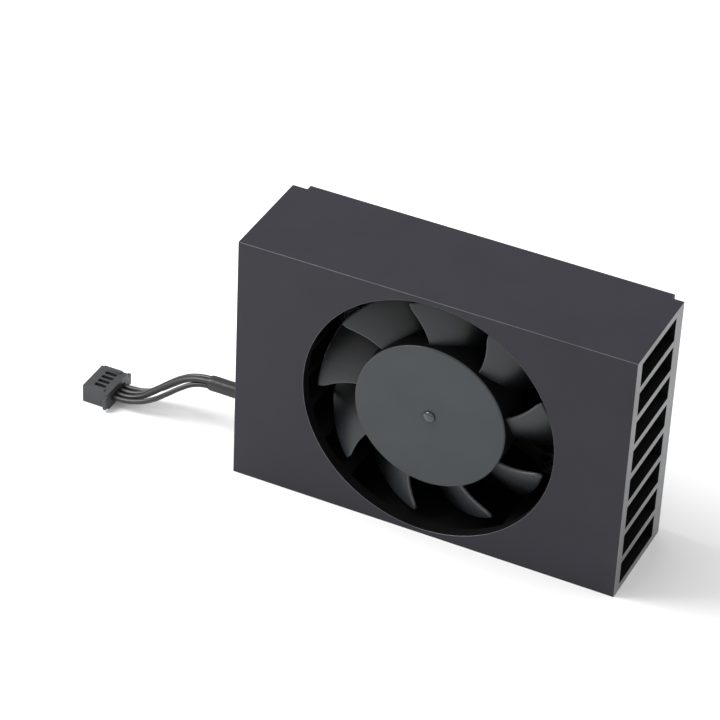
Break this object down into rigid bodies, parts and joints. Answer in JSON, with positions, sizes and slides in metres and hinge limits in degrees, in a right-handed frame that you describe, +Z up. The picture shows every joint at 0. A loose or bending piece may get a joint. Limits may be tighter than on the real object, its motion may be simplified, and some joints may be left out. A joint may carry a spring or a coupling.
{
  "type": "heatsink with fan",
  "caption": "Finned aluminium heatsink with a frameless fan set into it and a short plug lead, to cool a screwed-on computer module.",
  "frame": {"origin": "middle of the heatsink's footprint as it stands on a long side, without the lead", "axes": "+X along the fins, away from the lead; -Y out of the fan face, +Y out of the contact face; +Z up, across the fins"},
  "size_m": [0.1022, 0.0208, 0.0468],
  "materials": {
    "anodised": "satin black anodised aluminium",
    "compound": "matt white printed thermal compound",
    "frame_plastic": "fine matt black moulding",
    "steel": "bright",
    "black_oxide": "black oxide screws",
    "brass": "turned",
    "fan_plastic": "satin black moulding",
    "yoke_steel": "drawn, zinc plated",
    "magnet": "bonded ferrite",
    "lamination": "stamped",
    "insulator": "natural nylon",
    "copper": "enamelled copper wire",
    "tin": "tinned",
    "board": "green solder mask",
    "chip": "epoxy",
    "ceramic": "ceramic",
    "wire": "soft vinyl",
    "sleeve": "shrunk sleeve",
    "plug_plastic": "black nylon"
  },
  "bodies": {
    "cooler": {"heatsink": "anodised", "thermal_print": "compound", "fan_bracket": "frame_plastic", "bearing_cap": "frame_plastic", "bracket_screws": "black_oxide", "front_outer_race": "steel", "rear_outer_race": "steel", "bearing_tube": "brass", "stator_core": "lamination", "front_insulator": "insulator", "rear_insulator": "insulator", "coil_windings": "copper", "winding_pins": "tin", "solder_joints": "tin", "plug_contacts": "tin", "motor_board": "board", "position_sensor": "chip", "drive_chip": "chip", "board_capacitors": "ceramic", "ground_wire": "wire", "supply_wire": "wire", "speed_wire": "wire", "control_wire": "wire", "lead_sleeve": "sleeve", "plug_housing": "plug_plastic"},
    "rotor": {"impeller": "fan_plastic", "rotor_yoke": "yoke_steel", "magnet_ring": "magnet", "shaft": "steel", "shaft_bush": "brass", "preload_spring": "steel", "front_inner_race": "steel", "rear_inner_race": "steel", "retaining_clip": "steel"},
    "front_ball_set": {"front_balls": "steel"},
    "rear_ball_set": {"rear_balls": "steel"}
  },
  "joints": [
    {"name": "rotor_spin", "type": "hinge", "parent": "cooler", "child": "rotor", "pos_m": [0, 0, 0.0234], "axis": [0, -1, 0], "continuous": true},
    {"name": "front_balls_spin", "type": "hinge", "parent": "cooler", "child": "front_ball_set", "pos_m": [0, 0, 0.0234], "axis": [0, -1, 0], "continuous": true},
    {"name": "rear_balls_spin", "type": "hinge", "parent": "cooler", "child": "rear_ball_set", "pos_m": [0, 0, 0.0234], "axis": [0, -1, 0], "continuous": true}
  ],
  "couplings": [
    {"joint": "front_balls_spin", "follows": "rotor_spin", "ratio": 0.391},
    {"joint": "rear_balls_spin", "follows": "rotor_spin", "ratio": 0.391}
  ]
}
